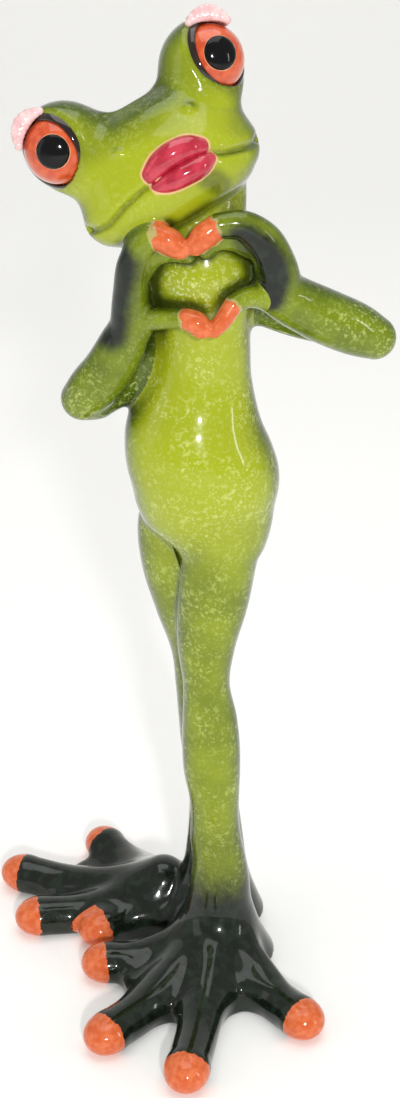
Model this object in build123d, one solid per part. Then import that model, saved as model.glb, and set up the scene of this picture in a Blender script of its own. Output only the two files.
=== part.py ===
from build123d import *
from math import asin, atan2, cos, degrees, hypot, pi, radians, sin, sqrt
import os

# Standing frog figurine, cast in resin and painted, in millimetres.
# The floor is Z = 0, the frog faces -Y, its own left side is +X, and its left ankle is above the origin.
# Each cast member and each raised painted feature is a piece of its own, seated on its neighbour.

os.makedirs("parts", exist_ok=True)

# Legs: both run from the seam at the ankle up to the seam at the hips
ankle_height = 24.0
hip_height = 128.0
thigh_half_width = 9.9
thigh_half_depth = 9.4
right_ankle_side = -0.8
right_ankle_back = 18.0
left_leg_bow = -3.4
right_leg_bow = 1.8

# The torso's middle line beside and behind the left ankle, and the hips beside and behind that line
torso_side = -5.0
torso_back = -2.0
left_hip_side = 4.9
left_hip_back = 0.5
right_hip_side = -5.6
right_hip_back = 7.0

# Torso, from the hip seam to the top of the neck
torso_length = 82.0
belly_half_width = 17.8
belly_half_depth = 15.6

# Head, in its own frame: origin midway between the eyes, X to its left, Y to its back, Z up
head_side = -14.1
head_back = 0.0
head_above_neck = 19.5
head_half_width = 21.2
head_height = 27.2
head_half_depth = 13.2
head_tilt = -28.3
head_turn = 12.0
head_lift = -8.0
head_shift = -1.2

# Eyes, each a ball held in a raised mound
eye_spacing = 37.4
eye_radius = 7.1
eye_mound_radius = 9.0
eye_open_depth = 1.9
eye_outward = 26.0
gaze_outward = 13.0
socket_turn = 30.0
rim_lap = 24.0
rim_width = 1.3
rim_height = 0.8
pupil_radius = 3.5
pupil_rise = 0.35
tuft_half_length = 5.0
tuft_half_depth = 3.4
tuft_half_height = 2.4
left_tuft_lean = 25.0
right_tuft_lean = 15.0

# Lips
lip_length = 15.4
lip_half_height = 3.0
lip_rise = 3.2
lips_down = 15.4
lips_shift = 0.1

# Arms: upper arm from shoulder to elbow, then the forearm folded back up to the hand
shoulder_side = 8.5
shoulder_back = 3.0
left_shoulder_below_neck = 21.5
right_shoulder_below_neck = 27.5
elbow_back = -2.0
left_elbow_side = 40.0
left_elbow_below_heart = 5.2
right_elbow_side = -28.6
right_elbow_below_heart = 22.4
upper_arm_radius = 4.8
elbow_radius = 4.9

# Hands, which form a heart in front of the chest
heart_side = 0.4
heart_half_width = 16.6
heart_height = 27.0
heart_below_lips = 0.2
heart_front = -16.5
finger_radius = 3.1
thumb_radius = 2.0

# Feet: four toes each, fanned over a web, with a rounded coloured tip
left_knuckle_forward = 2.0
left_knuckle_outward = 0.0
left_toe_reach = 46.2
right_knuckle_forward = -2.0
right_knuckle_outward = 12.2
right_toe_reach = 48.3
toe_tip_half_width = 6.0
toe_tip_half_length = 6.8
toe_tip_half_height = 5.1
toe_sink = 0.5
toe_half_width = 4.1
toe_half_height = 3.6
instep_height = 12.0
left_heel_reach = 15.0
right_heel_reach = 14.0

# Below the floor everything is cut away by a block of this size
floor_size = 400.0

# How many points draw an oval
oval_points = 8

# Shares of the sizes above, chosen by hand: one row for each section
leg_shares = [
    # height, half width, half depth
    (0.00, 0.81, 0.82),
    (0.11, 0.70, 0.71),
    (0.22, 0.64, 0.64),
    (0.33, 0.70, 0.72),
    (0.44, 0.75, 0.78),
    (0.52, 0.70, 0.72),
    (0.61, 0.60, 0.62),
    (0.70, 0.71, 0.72),
    (0.81, 0.89, 0.90),
    (0.93, 0.98, 1.00),
    (1.00, 0.97, 1.00),
]
torso_shares = [
    # height, half width, half depth, sideways, back
    (0.000, 0.85, 0.84, 0.01, 0.10),
    (0.095, 0.93, 0.94, 0.06, 0.04),
    (0.165, 0.98, 1.00, 0.07, -0.02),
    (0.235, 1.00, 1.00, 0.03, -0.06),
    (0.295, 0.97, 0.97, -0.02, -0.07),
    (0.365, 0.88, 0.88, -0.07, -0.05),
    (0.425, 0.77, 0.78, -0.04, -0.02),
    (0.500, 0.66, 0.70, 0.00, -0.01),
    (0.580, 0.61, 0.66, 0.04, -0.03),
    (0.700, 0.60, 0.68, 0.04, -0.08),
    (0.830, 0.57, 0.68, 0.04, -0.10),
    (0.930, 0.54, 0.58, 0.05, 0.00),
    (1.000, 0.53, 0.52, 0.06, 0.10),
]
head_shares = [
    # half width, half depth, height below the eyes, from the chin to the crown
    (0.28, 0.30, 1.000),
    (0.60, 0.62, 0.965),
    (0.85, 0.86, 0.875),
    (0.98, 0.98, 0.760),
    (1.00, 1.00, 0.660),
    (0.94, 0.96, 0.480),
    (0.80, 0.84, 0.260),
    (0.58, 0.62, 0.080),
    (0.30, 0.32, -0.010),
]
mound_shares = [
    # radius and depth behind the opening, as shares of the mound's radius
    (0.95, 0.00),
    (1.00, 0.35),
    (0.94, 0.95),
    (0.66, 1.50),
    (0.00, 1.80),
]
# The tuft's place behind the middle of the mound, and the crown of the rim's section
tuft_back_share = 0.42
rim_crown_share = 0.55
lip_shares = [
    # place along the lip, and fullness
    (-1.00, 0.45),
    (-0.80, 0.80),
    (-0.40, 1.00),
    (0.40, 1.00),
    (0.80, 0.80),
    (1.00, 0.45),
]
# Lips: seat on the head's front, curl back at the corners, slope, and spread of each from the parting
lip_seat_share = 0.98
lip_curl_share = 0.10
lip_slope_share = 0.14
lip_spread_share = 0.80
# Upper arm where it meets the elbow
arm_end_share = 0.85
# Forearm, hand and first finger in one run: place across, up and behind the heart, and radius
left_hand_shares = [
    (1.65, -0.06, 0.69, 1.95),
    (1.00, 0.18, 0.45, 1.78),
    (0.94, 0.52, 0.30, 1.48),
    (0.72, 0.79, 0.12, 1.16),
    (0.43, 0.89, 0.03, 1.03),
    (0.17, 0.84, 0.00, 0.97),
    (0.03, 0.75, 0.00, 0.80),
]
right_hand_shares = [
    (-1.34, -0.55, 0.69, 1.95),
    (-0.90, -0.03, 0.45, 1.70),
    (-0.94, 0.31, 0.30, 1.35),
    (-0.87, 0.58, 0.12, 1.13),
    (-0.66, 0.72, 0.03, 1.03),
    (-0.40, 0.74, 0.00, 0.94),
    (-0.20, 0.71, 0.00, 0.80),
]
# The wrist and the start of the first finger's coloured tip are these rows of the run
wrist_row = 1
index_tip_row = 5
left_middle_finger_shares = [
    (0.62, 0.62, 0.27, 0.75),
    (0.42, 0.72, 0.18, 0.70),
    (0.22, 0.72, 0.15, 0.70),
    (0.02, 0.63, 0.15, 0.55),
]
right_middle_finger_shares = [
    (-0.80, 0.46, 0.27, 0.75),
    (-0.60, 0.62, 0.18, 0.70),
    (-0.41, 0.63, 0.15, 0.70),
    (-0.16, 0.60, 0.15, 0.55),
]
left_thumb_shares = [
    (0.80, 0.22, 0.27, 1.50),
    (0.46, 0.22, 0.09, 1.00),
    (0.30, 0.10, 0.00, 0.95),
    (0.14, 0.00, -0.03, 0.80),
]
right_thumb_shares = [
    (-0.78, 0.02, 0.33, 1.40),
    (-0.42, 0.09, 0.12, 1.05),
    (-0.15, 0.09, 0.03, 1.12),
    (0.03, 0.03, 0.00, 0.85),
]
thumb_tip_row = 2
# How a round end closes: step past the end and radius there, as shares of the last radius
round_end_shares = [(0.50, 0.87), (0.80, 0.60), (0.96, 0.28)]
# Toes: heading in degrees from +X, and reach as a share of the longest toe
left_toe_shares = [(-171.7, 0.70), (-131.5, 0.93), (-100.3, 1.00), (-51.7, 0.73)]
right_toe_shares = [(-149.0, 0.52), (-170.5, 0.83), (162.1, 1.00), (125.6, 0.735)]
# How far the web reaches under the toes, and between each toe and the next
left_web_under_share = 0.76
right_web_under_share = 0.76
left_web_shares = (0.76, 0.62, 0.52)
right_web_shares = (0.76, 0.84, 0.82)
# Heel, from the last toe round to the first: part of the turn, and share of the heel's reach
left_heel_shares = [(0.2, 1.00), (0.4, 0.92), (0.6, 0.88), (0.8, 0.90)]
right_heel_shares = [(0.2, 0.95), (0.4, 1.00), (0.6, 0.68), (0.8, 0.62)]
toe_tip_share = 0.30
toe_rise_shares = [
    # along the toe, drop below the straight line, and size
    (0.05, 0.00, 1.15),
    (0.40, 0.14, 1.05),
    (0.65, 0.14, 1.02),
    (0.82, 0.07, 1.12),
]
fan_rise_shares = [
    # height of a section of the foot, and how far it still follows the web's outline
    (0.00, 1.00),
    (0.13, 0.95),
    (0.25, 0.66),
    (0.45, 0.28),
    (0.70, 0.07),
    (1.00, 0.00),
]


def oval(plane, half_width, half_height):
    """Closed smooth oval face on a plane."""
    turns = [2 * pi * i / oval_points for i in range(oval_points)]
    return plane * smooth_face([(half_width * cos(t), half_height * sin(t)) for t in turns])


def smooth_face(points):
    return make_face(Spline(points, periodic=True))


def level(x, y, z):
    return Plane(origin=(x, y, z), x_dir=(1, 0, 0), z_dir=(0, 0, 1))


def route_sections(rows, across_from):
    """Ovals (place, across, up) set square to the route that their places follow."""
    places = [Vector(*place) for place, _, _ in rows]
    faces = []
    for i, (_, across, up) in enumerate(rows):
        heading = places[min(i + 1, len(rows) - 1)] - places[max(i - 1, 0)]
        side = heading.cross(Vector(*across_from))
        faces.append(oval(Plane(origin=places[i], x_dir=side, z_dir=heading), across, up))
    return faces


def round_end(face, heading, radius):
    """Rounded end grown from a limb's last section."""
    faces = [face]
    middle = face.center()
    for step, size in round_end_shares:
        smaller = Pos(*(-middle)) * face
        smaller = Pos(*(middle + heading.normalized() * (radius * step))) * scale(smaller, by=size)
        faces.append(smaller)
    return loft(faces)


def cut(shape, *tools):
    """The main solid left when the tools are taken from a shape."""
    for tool in tools:
        shape = shape - tool
    return max(shape.solids(), key=lambda solid: solid.volume)


def above_floor(shape):
    return cut(shape, Pos(0, 0, -floor_size / 2) * Box(floor_size, floor_size, floor_size))


def leg(hip, ankle, bow):
    faces = []
    for height, width, depth in leg_shares:
        x = ankle[0] + (hip[0] - ankle[0]) * height + bow * sin(pi * height)
        y = ankle[1] + (hip[1] - ankle[1]) * height
        z = ankle_height + (hip_height - ankle_height) * height
        faces.append(oval(level(x, y, z), thigh_half_width * width, thigh_half_depth * depth))
    return loft(faces)


def torso():
    faces = []
    for height, width, depth, side, back in torso_shares:
        plane = level(belly_half_width * side, belly_half_depth * back, hip_height + torso_length * height)
        faces.append(oval(plane, belly_half_width * width, belly_half_depth * depth))
    return loft(faces)


def turn_between(start, end):
    """Smallest turn from one heading to another, in degrees."""
    return (end - start + 180) % 360 - 180


def fan(ankle, toe_ends, web_under_share, web_shares, heel_reach, heel_shares):
    """Foot with its web: the floor outline follows toes and web, and gathers into the ankle."""
    polar = [(degrees(atan2(y - ankle[1], x - ankle[0])), hypot(x - ankle[0], y - ankle[1]))
             for x, y in toe_ends]
    outline = []
    for i, (heading, distance) in enumerate(polar):
        if i:
            before, distance_before = polar[i - 1]
            outline.append((before + turn_between(before, heading) / 2,
                            web_shares[i - 1] * (distance + distance_before) / 2))
        outline.append((heading, web_under_share * distance))
    spread = turn_between(polar[0][0], polar[-1][0])
    rest = (360 - abs(spread)) * (1 if spread > 0 else -1)
    for part, reach_share in heel_shares:
        outline.append((polar[-1][0] + rest * part, heel_reach * reach_share))
    faces = []
    half_width, half_depth = leg_shares[0][1] * thigh_half_width, leg_shares[0][2] * thigh_half_depth
    for rise, follow in fan_rise_shares:
        points = []
        for heading, distance in outline:
            c, s = cos(radians(heading)), sin(radians(heading))
            at_ankle = 1 / sqrt((c / half_width) ** 2 + (s / half_depth) ** 2)
            r = at_ankle + (distance - at_ankle) * follow
            points.append((r * c, r * s))
        faces.append(level(*ankle, ankle_height * rise) * smooth_face(points))
    return loft(faces)


def between_toes(knuckle, heading, neighbour):
    """Upright plane halfway between two toes, facing the first."""
    half = radians(heading - turn_between(neighbour, heading) / 2)
    normal = Vector(-sin(half), cos(half), 0)
    if normal.dot(Vector(cos(radians(heading)), sin(radians(heading)), 0)) < 0:
        normal = normal * -1
    return Plane(origin=(*knuckle, 0), z_dir=normal)


def toe(knuckle, end, foot, walls):
    """Toe that rises out of the fan, and its rounded tip, both standing on the floor."""
    along = (Vector(*end) - Vector(*knuckle)).normalized()
    side = along.cross(Vector(0, 0, 1))
    centre = Vector(*end, toe_tip_half_height - toe_sink)
    tip = Plane(origin=centre, x_dir=side, z_dir=along).location * scale(
        Sphere(1), by=(toe_tip_half_width, toe_tip_half_height, toe_tip_half_length))
    edge = centre - along * (toe_tip_share * toe_tip_half_length)
    seam = Plane(origin=edge, x_dir=side, z_dir=along)
    narrow = sqrt(1 - toe_tip_share ** 2)
    start = Vector(*knuckle, instep_height)
    run = edge - start
    faces = []
    for share, drop, size in toe_rise_shares:
        place = start + run * share - Vector(0, 0, 1) * (drop * instep_height)
        faces.append(oval(Plane(origin=place, x_dir=side, z_dir=along),
                          toe_half_width * size, toe_half_height * size))
    faces.append(oval(seam, toe_tip_half_width * narrow, toe_tip_half_height * narrow))
    plain, tip = loft(faces), split(tip, seam, keep=Keep.TOP)
    for wall in walls:
        plain, tip = split(plain, wall, keep=Keep.TOP), split(tip, wall, keep=Keep.TOP)
    return cut(above_floor(plain), foot), above_floor(tip)


def in_heart(shares, radius):
    rows = []
    for across, up, back, girth in shares:
        place = (heart_side + heart_half_width * across,
                 heart_front + heart_half_width * back,
                 heart_base + heart_height * up)
        rows.append((place, radius * girth, radius * girth))
    return rows


def on_ball(angle):
    """Point of the ball's section at an angle above its equator, in the opening's frame, Z outward."""
    return eye_radius * cos(radians(angle)), 0, eye_radius * sin(radians(angle)) - eye_open_depth


nodes = {}

# Legs, feet and toes
left_ankle = (0, 0)
right_ankle = (right_ankle_side, right_ankle_back)
left_hip = (torso_side + left_hip_side, torso_back + left_hip_back)
right_hip = (torso_side + right_hip_side, torso_back + right_hip_back)
nodes["leg_left"] = leg(left_hip, left_ankle, left_leg_bow)
nodes["leg_right"] = cut(leg(right_hip, right_ankle, right_leg_bow), nodes["leg_left"])
left_knuckle = (-left_knuckle_outward, -left_knuckle_forward)
right_knuckle = (right_ankle_side - right_knuckle_outward, right_ankle_back - right_knuckle_forward)
between_feet = Plane(origin=(right_ankle_side / 2, right_ankle_back / 2, 0),
                     z_dir=(-right_ankle_side, -right_ankle_back, 0))
for side, ankle, knuckle, toe_shares, reach, web_sizes, heel_sizes in (
        ("left", left_ankle, left_knuckle, left_toe_shares, left_toe_reach,
         (left_web_under_share, left_web_shares), (left_heel_reach, left_heel_shares)),
        ("right", right_ankle, right_knuckle, right_toe_shares, right_toe_reach,
         (right_web_under_share, right_web_shares), (right_heel_reach, right_heel_shares))):
    ends = [(knuckle[0] + reach * share * cos(radians(heading)),
             knuckle[1] + reach * share * sin(radians(heading))) for heading, share in toe_shares]
    foot = fan(ankle, ends, *web_sizes, *heel_sizes)
    if side == "left":
        foot = split(foot, between_feet, keep=Keep.TOP)
    headings = [heading for heading, _ in toe_shares]
    for i, (heading, end) in enumerate(zip(headings, ends)):
        walls = [between_toes(knuckle, heading, headings[j]) for j in (i - 1, i + 1) if 0 <= j < len(ends)]
        nodes[f"toe_{side}_{i + 1}"], nodes[f"toe_tip_{side}_{i + 1}"] = toe(knuckle, end, foot, walls)
    nodes[f"foot_{side}"] = foot

# All above the hips, beside and behind the torso's middle line
body = {"torso": torso()}

# Head and what sits on it, made in the head's own frame and then turned as one
neck_top = hip_height + torso_length
eye_height = neck_top + head_above_neck
head_frame = (Pos(head_side, head_back, eye_height)
              * Rot(0, head_tilt, 0) * Rot(0, 0, head_turn) * Rot(head_lift, 0, 0))
skull = loft([oval(level(head_shift, 0, -head_height * z), head_half_width * w, head_half_depth * d)
              for w, d, z in head_shares])
on_head = {}
edge_turn = degrees(asin(eye_open_depth / eye_radius))
ball_edge = on_ball(edge_turn)[0]
ball_back = (0, 0, -eye_open_depth - eye_radius)
for side, sign, tuft_lean in (("left", 1, left_tuft_lean), ("right", -1, right_tuft_lean)):
    centre = Vector(sign * eye_spacing / 2, 0, 0)
    outward = Vector(sign * sin(radians(eye_outward)), -cos(radians(eye_outward)), 0)
    gaze = Vector(sign * sin(radians(gaze_outward)), -cos(radians(gaze_outward)), 0)
    opening = Plane(origin=centre + outward * eye_open_depth, z_dir=outward)
    points = [(eye_mound_radius * r, 0, -eye_mound_radius * depth) for r, depth in mound_shares]
    outer = Spline(points)
    whole = opening.location * revolve(
        make_face([Line((0, 0, 0), points[0]), outer, Line(points[-1], (0, 0, 0))]), Axis.Z)
    hollow = opening.location * revolve(make_face([
        Line((ball_edge, 0, 0), points[0]), outer, Line(points[-1], ball_back),
        ThreePointArc(ball_back, on_ball(-socket_turn), (ball_edge, 0, 0))]), Axis.Z)
    crest, inside = on_ball(rim_lap), on_ball((rim_lap + edge_turn) / 2)
    crown = (ball_edge + rim_width * rim_crown_share, 0, rim_height)
    rim_edge = (ball_edge + rim_width, 0, 0)
    rim = opening.location * revolve(make_face([
        Line((ball_edge, 0, 0), rim_edge), ThreePointArc(rim_edge, crown, crest),
        ThreePointArc(crest, inside, (ball_edge, 0, 0))]), Axis.Z)
    eyeball = Pos(*centre) * Sphere(eye_radius)
    iris = Plane(origin=centre, z_dir=gaze)
    lens = Pos(*centre) * Sphere(eye_radius + pupil_rise) & (
        iris.location * Pos(0, 0, eye_radius) * Cylinder(pupil_radius, 2 * eye_radius))
    lean = radians(tuft_lean) * sign
    place = centre + Vector(sin(lean), tuft_back_share, cos(lean)) * eye_mound_radius
    tuft = Pos(*place) * Rot(0, sign * tuft_lean, 0) * scale(
        Sphere(1), by=(tuft_half_length, tuft_half_depth, tuft_half_height))
    clearing = opening.location * Pos(0, 0, eye_radius / 2) * Cylinder(eye_mound_radius, eye_radius)
    skull = cut(skull, whole, clearing)
    on_head[f"eye_mound_{side}"] = hollow
    on_head[f"eye_{side}"] = eyeball
    on_head[f"eye_rim_{side}"] = rim
    on_head[f"pupil_{side}"] = cut(lens, eyeball)
    on_head[f"brow_tuft_{side}"] = cut(tuft, whole)
for name, up in (("upper_lip", 1), ("lower_lip", -1)):
    rows = []
    for along, full in lip_shares:
        rows.append(((lips_shift + along * lip_length / 2,
                      -head_half_depth * (lip_seat_share - lip_curl_share * along ** 2),
                      -lips_down - along * lip_slope_share * lip_length / 2
                      + up * lip_half_height * lip_spread_share),
                     lip_rise * full, lip_half_height * full))
    on_head[name] = cut(loft(route_sections(rows, (0, 0, 1))), skull)
on_head["lower_lip"] = cut(on_head["lower_lip"], on_head["upper_lip"])
for name, shape in on_head.items():
    body[name] = head_frame * shape
body["head"] = cut(head_frame * skull, body["torso"])
lips_low = lips_down + lip_half_height * (1 + lip_spread_share)
heart_base = eye_height - lips_low * cos(radians(head_tilt)) - heart_height - heart_below_lips

# Arms and hands: the heart hangs just below the lips
face_on = (0, 1, 0)
for side, shoulder_place, elbow, hand_shares, middle_shares, thumb_shares in (
        ("left", (shoulder_side, shoulder_back, neck_top - left_shoulder_below_neck),
         (left_elbow_side, elbow_back, heart_base - left_elbow_below_heart),
         left_hand_shares, left_middle_finger_shares, left_thumb_shares),
        ("right", (-shoulder_side, shoulder_back, neck_top - right_shoulder_below_neck),
         (right_elbow_side, elbow_back, heart_base - right_elbow_below_heart),
         right_hand_shares, right_middle_finger_shares, right_thumb_shares)):
    run = [(elbow, elbow_radius, elbow_radius)] + in_heart(hand_shares, finger_radius)
    faces = route_sections(run, face_on)
    wrist, tip = 1 + wrist_row, 1 + index_tip_row
    elbow_end = round_end(faces[0], faces[0].center() - faces[1].center(), elbow_radius)
    body[f"forearm_{side}"] = loft(faces[:wrist + 1]) + elbow_end
    body[f"hand_{side}"] = cut(loft(faces[wrist:tip + 1]), body["head"], body["torso"])
    finger_end = round_end(faces[-1], faces[-1].center() - faces[-2].center(), run[-1][1])
    body[f"index_tip_{side}"] = loft(faces[tip:]) + finger_end
    upper = loft(route_sections([(shoulder_place, upper_arm_radius, upper_arm_radius),
                                 (elbow, arm_end_share * elbow_radius, arm_end_share * elbow_radius)],
                                face_on))
    body[f"upper_arm_{side}"] = cut(upper, body["torso"], body[f"forearm_{side}"])
    thumb_rows = in_heart(thumb_shares, thumb_radius)
    faces = route_sections(thumb_rows, face_on)
    body[f"thumb_{side}"] = cut(loft(faces[:thumb_tip_row + 1]), body[f"hand_{side}"])
    thumb_end = round_end(faces[-1], faces[-1].center() - faces[-2].center(), thumb_rows[-1][1])
    body[f"thumb_tip_{side}"] = loft(faces[thumb_tip_row:]) + thumb_end
    middle = loft(route_sections(in_heart(middle_shares, finger_radius), face_on))
    body[f"middle_finger_{side}"] = cut(middle, body[f"hand_{side}"], body[f"index_tip_{side}"])
for name in ("index_tip", "thumb_tip", "middle_finger"):
    body[f"{name}_right"] = cut(body[f"{name}_right"], body[f"{name}_left"])
for name, shape in body.items():
    nodes[name] = Pos(torso_side, torso_back, 0) * shape

for name, shape in nodes.items():
    export_step(shape, f"parts/{name}.step")
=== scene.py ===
from math import atan2, cos, pi, radians, sin, sqrt

import bpy
import numpy as np
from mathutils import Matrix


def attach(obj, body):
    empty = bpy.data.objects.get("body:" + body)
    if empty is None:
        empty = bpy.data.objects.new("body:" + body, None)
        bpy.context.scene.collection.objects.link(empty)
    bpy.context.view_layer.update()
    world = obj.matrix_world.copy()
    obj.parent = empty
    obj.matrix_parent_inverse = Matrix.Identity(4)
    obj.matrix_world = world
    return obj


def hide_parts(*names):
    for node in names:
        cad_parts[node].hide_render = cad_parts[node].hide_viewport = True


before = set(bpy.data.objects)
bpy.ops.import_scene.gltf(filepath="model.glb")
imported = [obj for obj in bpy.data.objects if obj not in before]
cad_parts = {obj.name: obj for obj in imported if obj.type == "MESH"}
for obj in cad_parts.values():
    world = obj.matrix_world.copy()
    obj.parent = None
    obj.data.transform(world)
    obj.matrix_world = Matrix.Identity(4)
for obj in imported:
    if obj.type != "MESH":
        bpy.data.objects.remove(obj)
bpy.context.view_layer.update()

# Standing frog figurine. Its skin is modelled as clay in millimetres, beside the torso's middle line,
# then cut into pieces along the casting's seams and set in the frame in metres.

millimetre = 0.001
torso_side, torso_back = -5.0, -2.0
hip_height, ankle_height = 128.0, 24.0
sides = {"left": 1, "right": -1}

# Fineness of the clay, the distance that stands for nowhere near, and spare room round a form
fine, body_grain, leg_grain = 0.25, 0.5, 0.6
far, margin, small_margin, head_margin = 50.0, 2.0, 1.5, 6
# Lowest and highest corners of the two blocks of clay, which overlap at the hip
hip_overlap = 3
upper_block = (-44, -26, hip_height - hip_overlap), (47, 24, 252)
lower_block = (-64, -57, -1.5), (38, 62, hip_height + hip_overlap)

# Legs and torso: height, place across, place back, half width, half depth
torso_rows = [
    (121.5, 4.4, 2.6, 4.0, 4.0), (124.0, 4.2, 2.4, 8.4, 7.2), (127.5, 3.0, 2.0, 12.0, 10.4),
    (131.5, 1.8, 1.4, 14.7, 12.4), (136.2, 1.3, 0.8, 16.3, 14.1), (141.7, 1.3, -0.2, 17.4, 15.4),
    (147.0, 0.6, -0.9, 17.8, 15.6), (152.1, -0.4, -1.1, 17.2, 15.1), (158.1, -1.4, -0.8, 15.6, 13.7),
    (162.9, -0.9, -0.3, 13.8, 12.2), (169.0, 0.0, -0.2, 11.8, 10.9), (175.6, 0.7, -0.5, 10.8, 10.3),
    (185.4, 0.8, -1.2, 10.4, 10.6), (196.0, 0.8, -1.6, 9.9, 10.4), (204.3, 1.0, 0.0, 9.2, 8.8),
    (212.0, 1.2, 2.0, 9.0, 7.8), (222.0, 1.0, 3.0, 8.0, 6.5),
]
left_leg_rows = [
    (4.0, 4.9, 2.0, 15.5, 14.5), (9.1, 4.9, 2.0, 12.9, 12.0), (15.0, 5.0, 2.0, 10.3, 9.6),
    (20.8, 5.0, 2.0, 8.8, 8.2), (28.1, 5.2, 2.0, 7.9, 7.3), (35.4, 4.9, 1.9, 7.0, 6.6),
    (40.5, 4.2, 1.8, 6.7, 6.3), (46.8, 3.9, 1.7, 6.3, 6.2), (53.2, 3.7, 1.6, 6.5, 6.6),
    (61.2, 3.1, 1.5, 7.3, 7.3), (69.9, 2.8, 1.3, 7.4, 7.2), (77.3, 2.5, 1.2, 6.9, 6.6),
    (87.5, 1.6, 1.1, 5.9, 6.0), (97.1, 1.6, 1.0, 7.1, 7.1), (108.8, 2.9, 0.8, 8.8, 8.6),
    (120.4, 4.1, 0.6, 9.6, 9.4), (126.6, 4.9, 0.5, 9.9, 9.4), (131.8, 5.1, 0.5, 9.7, 9.2),
    (137.0, 5.2, 0.6, 8.6, 8.4),
]
right_leg_rows = [
    (4.0, 3.4, 20.4, 14.8, 13.5), (9.1, 3.8, 20.2, 12.4, 11.5), (15.0, 4.0, 20.0, 10.2, 9.6),
    (20.8, 4.2, 20.0, 8.7, 8.2), (28.1, 4.2, 19.5, 7.8, 7.3), (40.5, 3.8, 18.0, 6.7, 6.4),
    (46.8, 3.4, 17.2, 6.3, 6.2), (53.2, 3.0, 16.4, 6.5, 6.5), (61.1, 2.3, 15.4, 7.3, 7.2),
    (69.1, 1.8, 14.4, 7.4, 7.2), (79.9, 0.4, 13.0, 6.7, 6.6), (90.7, -1.0, 11.7, 6.3, 6.3),
    (103.7, -2.9, 10.0, 8.2, 8.2), (116.7, -5.0, 8.4, 9.4, 9.2), (128.7, -5.4, 6.9, 9.8, 9.4),
    (137.0, -5.0, 6.2, 8.8, 8.8),
]

# Head, in its own frame: origin midway between the eyes, X to its left, Y to its back, Z up
head_place = (-14.1, 0.0, 229.5)
head_tilt, head_turn, head_lift = -28.3, 12.0, -8.0
skull_rows = [
    (-27.4, -1.2, 0.0, 5.5, 3.8), (-26.2, -1.2, 0.0, 12.6, 8.2), (-23.8, -1.2, 0.0, 17.9, 11.3),
    (-20.7, -1.2, 0.0, 20.6, 12.7), (-18.0, -1.1, 0.0, 21.2, 13.2), (-13.0, -1.0, 0.0, 19.7, 12.8),
    (-7.0, -0.8, 0.2, 16.6, 11.1), (-2.2, -0.6, 0.6, 12.4, 8.6), (0.6, -0.5, 1.0, 6.0, 4.0),
]
muzzle_place, muzzle_radii, face_front = (0.3, -5.8, -15.4), (13.0, 7.4, 7.2), -18
# Each brow: across, back, up and radius, from the eye to the cheek
brow_points = [(15.5, 2.5, -1.5, 7.6), (11.0, 2.0, -9.0, 8.6)]

# Eyes, their mounds, pupils and rims
eye_side, eye_radius, eye_outward, gaze_outward = 18.7, 7.55, 46.0, 15.0
mound_radius, mound_behind, mound_skirt, socket_play = 9.5, 1.3, 1.4, 0.1
lid_rise, lid_melt = 1.8, 1.4
pupil_radius, pupil_rise, pupil_slump = 3.6, 0.28, 0.22
pupil_waist, pupil_depth, pupil_root = 0.9, 0.6, 2.4
rim_inner, rim_outer, rim_top, rim_opening, rim_lean = 7.15, 8.8, 0.7, 1.3, 1.45
rim_even, rim_wider, rim_wave, rim_waves = 0.84, 0.22, 0.10, 5

# Brow tufts: ridges fanned over each mound, between two turns in degrees
tuft_inner, tuft_outer, tuft_count, tuft_melt = 8.6, 10.3, 9, 0.3
tuft_turns = {"left": (-4.0, 54.0), "right": (-2.0, 58.0)}
tuft_backs = (-3.0, -1.0, 1.0)
ridge_girth, ridge_thinner, ridge_shorter, ridge_taper = 1.05, 0.05, 0.11, 0.9

# Mouth line and nostrils: across and up
mouth_points = [
    [(-22.4, -17.6), (-20.2, -18.7), (-17.7, -18.9), (-13.3, -17.2), (-8.3, -16.1), (-6.0, -16.0)],
    [(6.0, -16.2), (7.7, -16.5), (10.6, -18.0), (13.6, -18.9), (17.4, -19.7), (20.8, -18.9)],
]
nostril_points = [[(8.7, -6.1), (9.1, -6.3)], [(-8.8, -7.0), (-9.1, -6.8)]]
mouth_depth, mouth_width = 1.2, 0.75
nostril_height, nostril_width = 0.9, 1.0

# Lips: across, back, up and radius
lip_points = {
    "upper_lip": [(-5.5, -12.3, -14.1, 1.9), (-2.4, -13.1, -13.1, 2.6), (1.0, -13.4, -12.8, 2.8),
                  (4.3, -13.0, -13.3, 2.6), (6.5, -12.2, -14.3, 1.9)],
    "lower_lip": [(-5.4, -12.4, -17.1, 1.4), (-2.6, -13.3, -17.4, 2.2), (1.0, -13.7, -17.6, 2.5),
                  (4.6, -13.3, -17.7, 2.3), (7.0, -12.2, -17.5, 1.4)],
}

# Toes: heading in degrees, and reach from the foot's knuckle in millimetres
left_ankle, right_ankle = (5.0, 2.0), (4.2, 20.0)
left_knuckle, right_knuckle = (5.0, 0.0), (-8.0, 22.0)
left_toes = [(-171.7, 31.0), (-131.5, 43.2), (-100.3, 46.4), (-51.7, 34.0)]
right_toes = [(-149.0, 22.6), (-170.5, 38.0), (162.1, 45.8), (125.6, 35.0)]
# Each toe's line: share of the reach, height and radius, then its end under the tip
toe_rows = [(0.08, 12.6, 4.6), (0.25, 9.0, 5.3), (0.45, 5.4, 5.6), (0.68, 3.7, 5.5)]
toe_end_height, toe_end_radius = 4.2, 5.5
toe_root_share, toe_root_beyond = 0.66, 2
tip_half_width, tip_half_height, tip_half_length = 5.8, 5.0, 6.3
tip_share, tip_sunk, brush_ahead = 0.30, 0.5, 1.4
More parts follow.
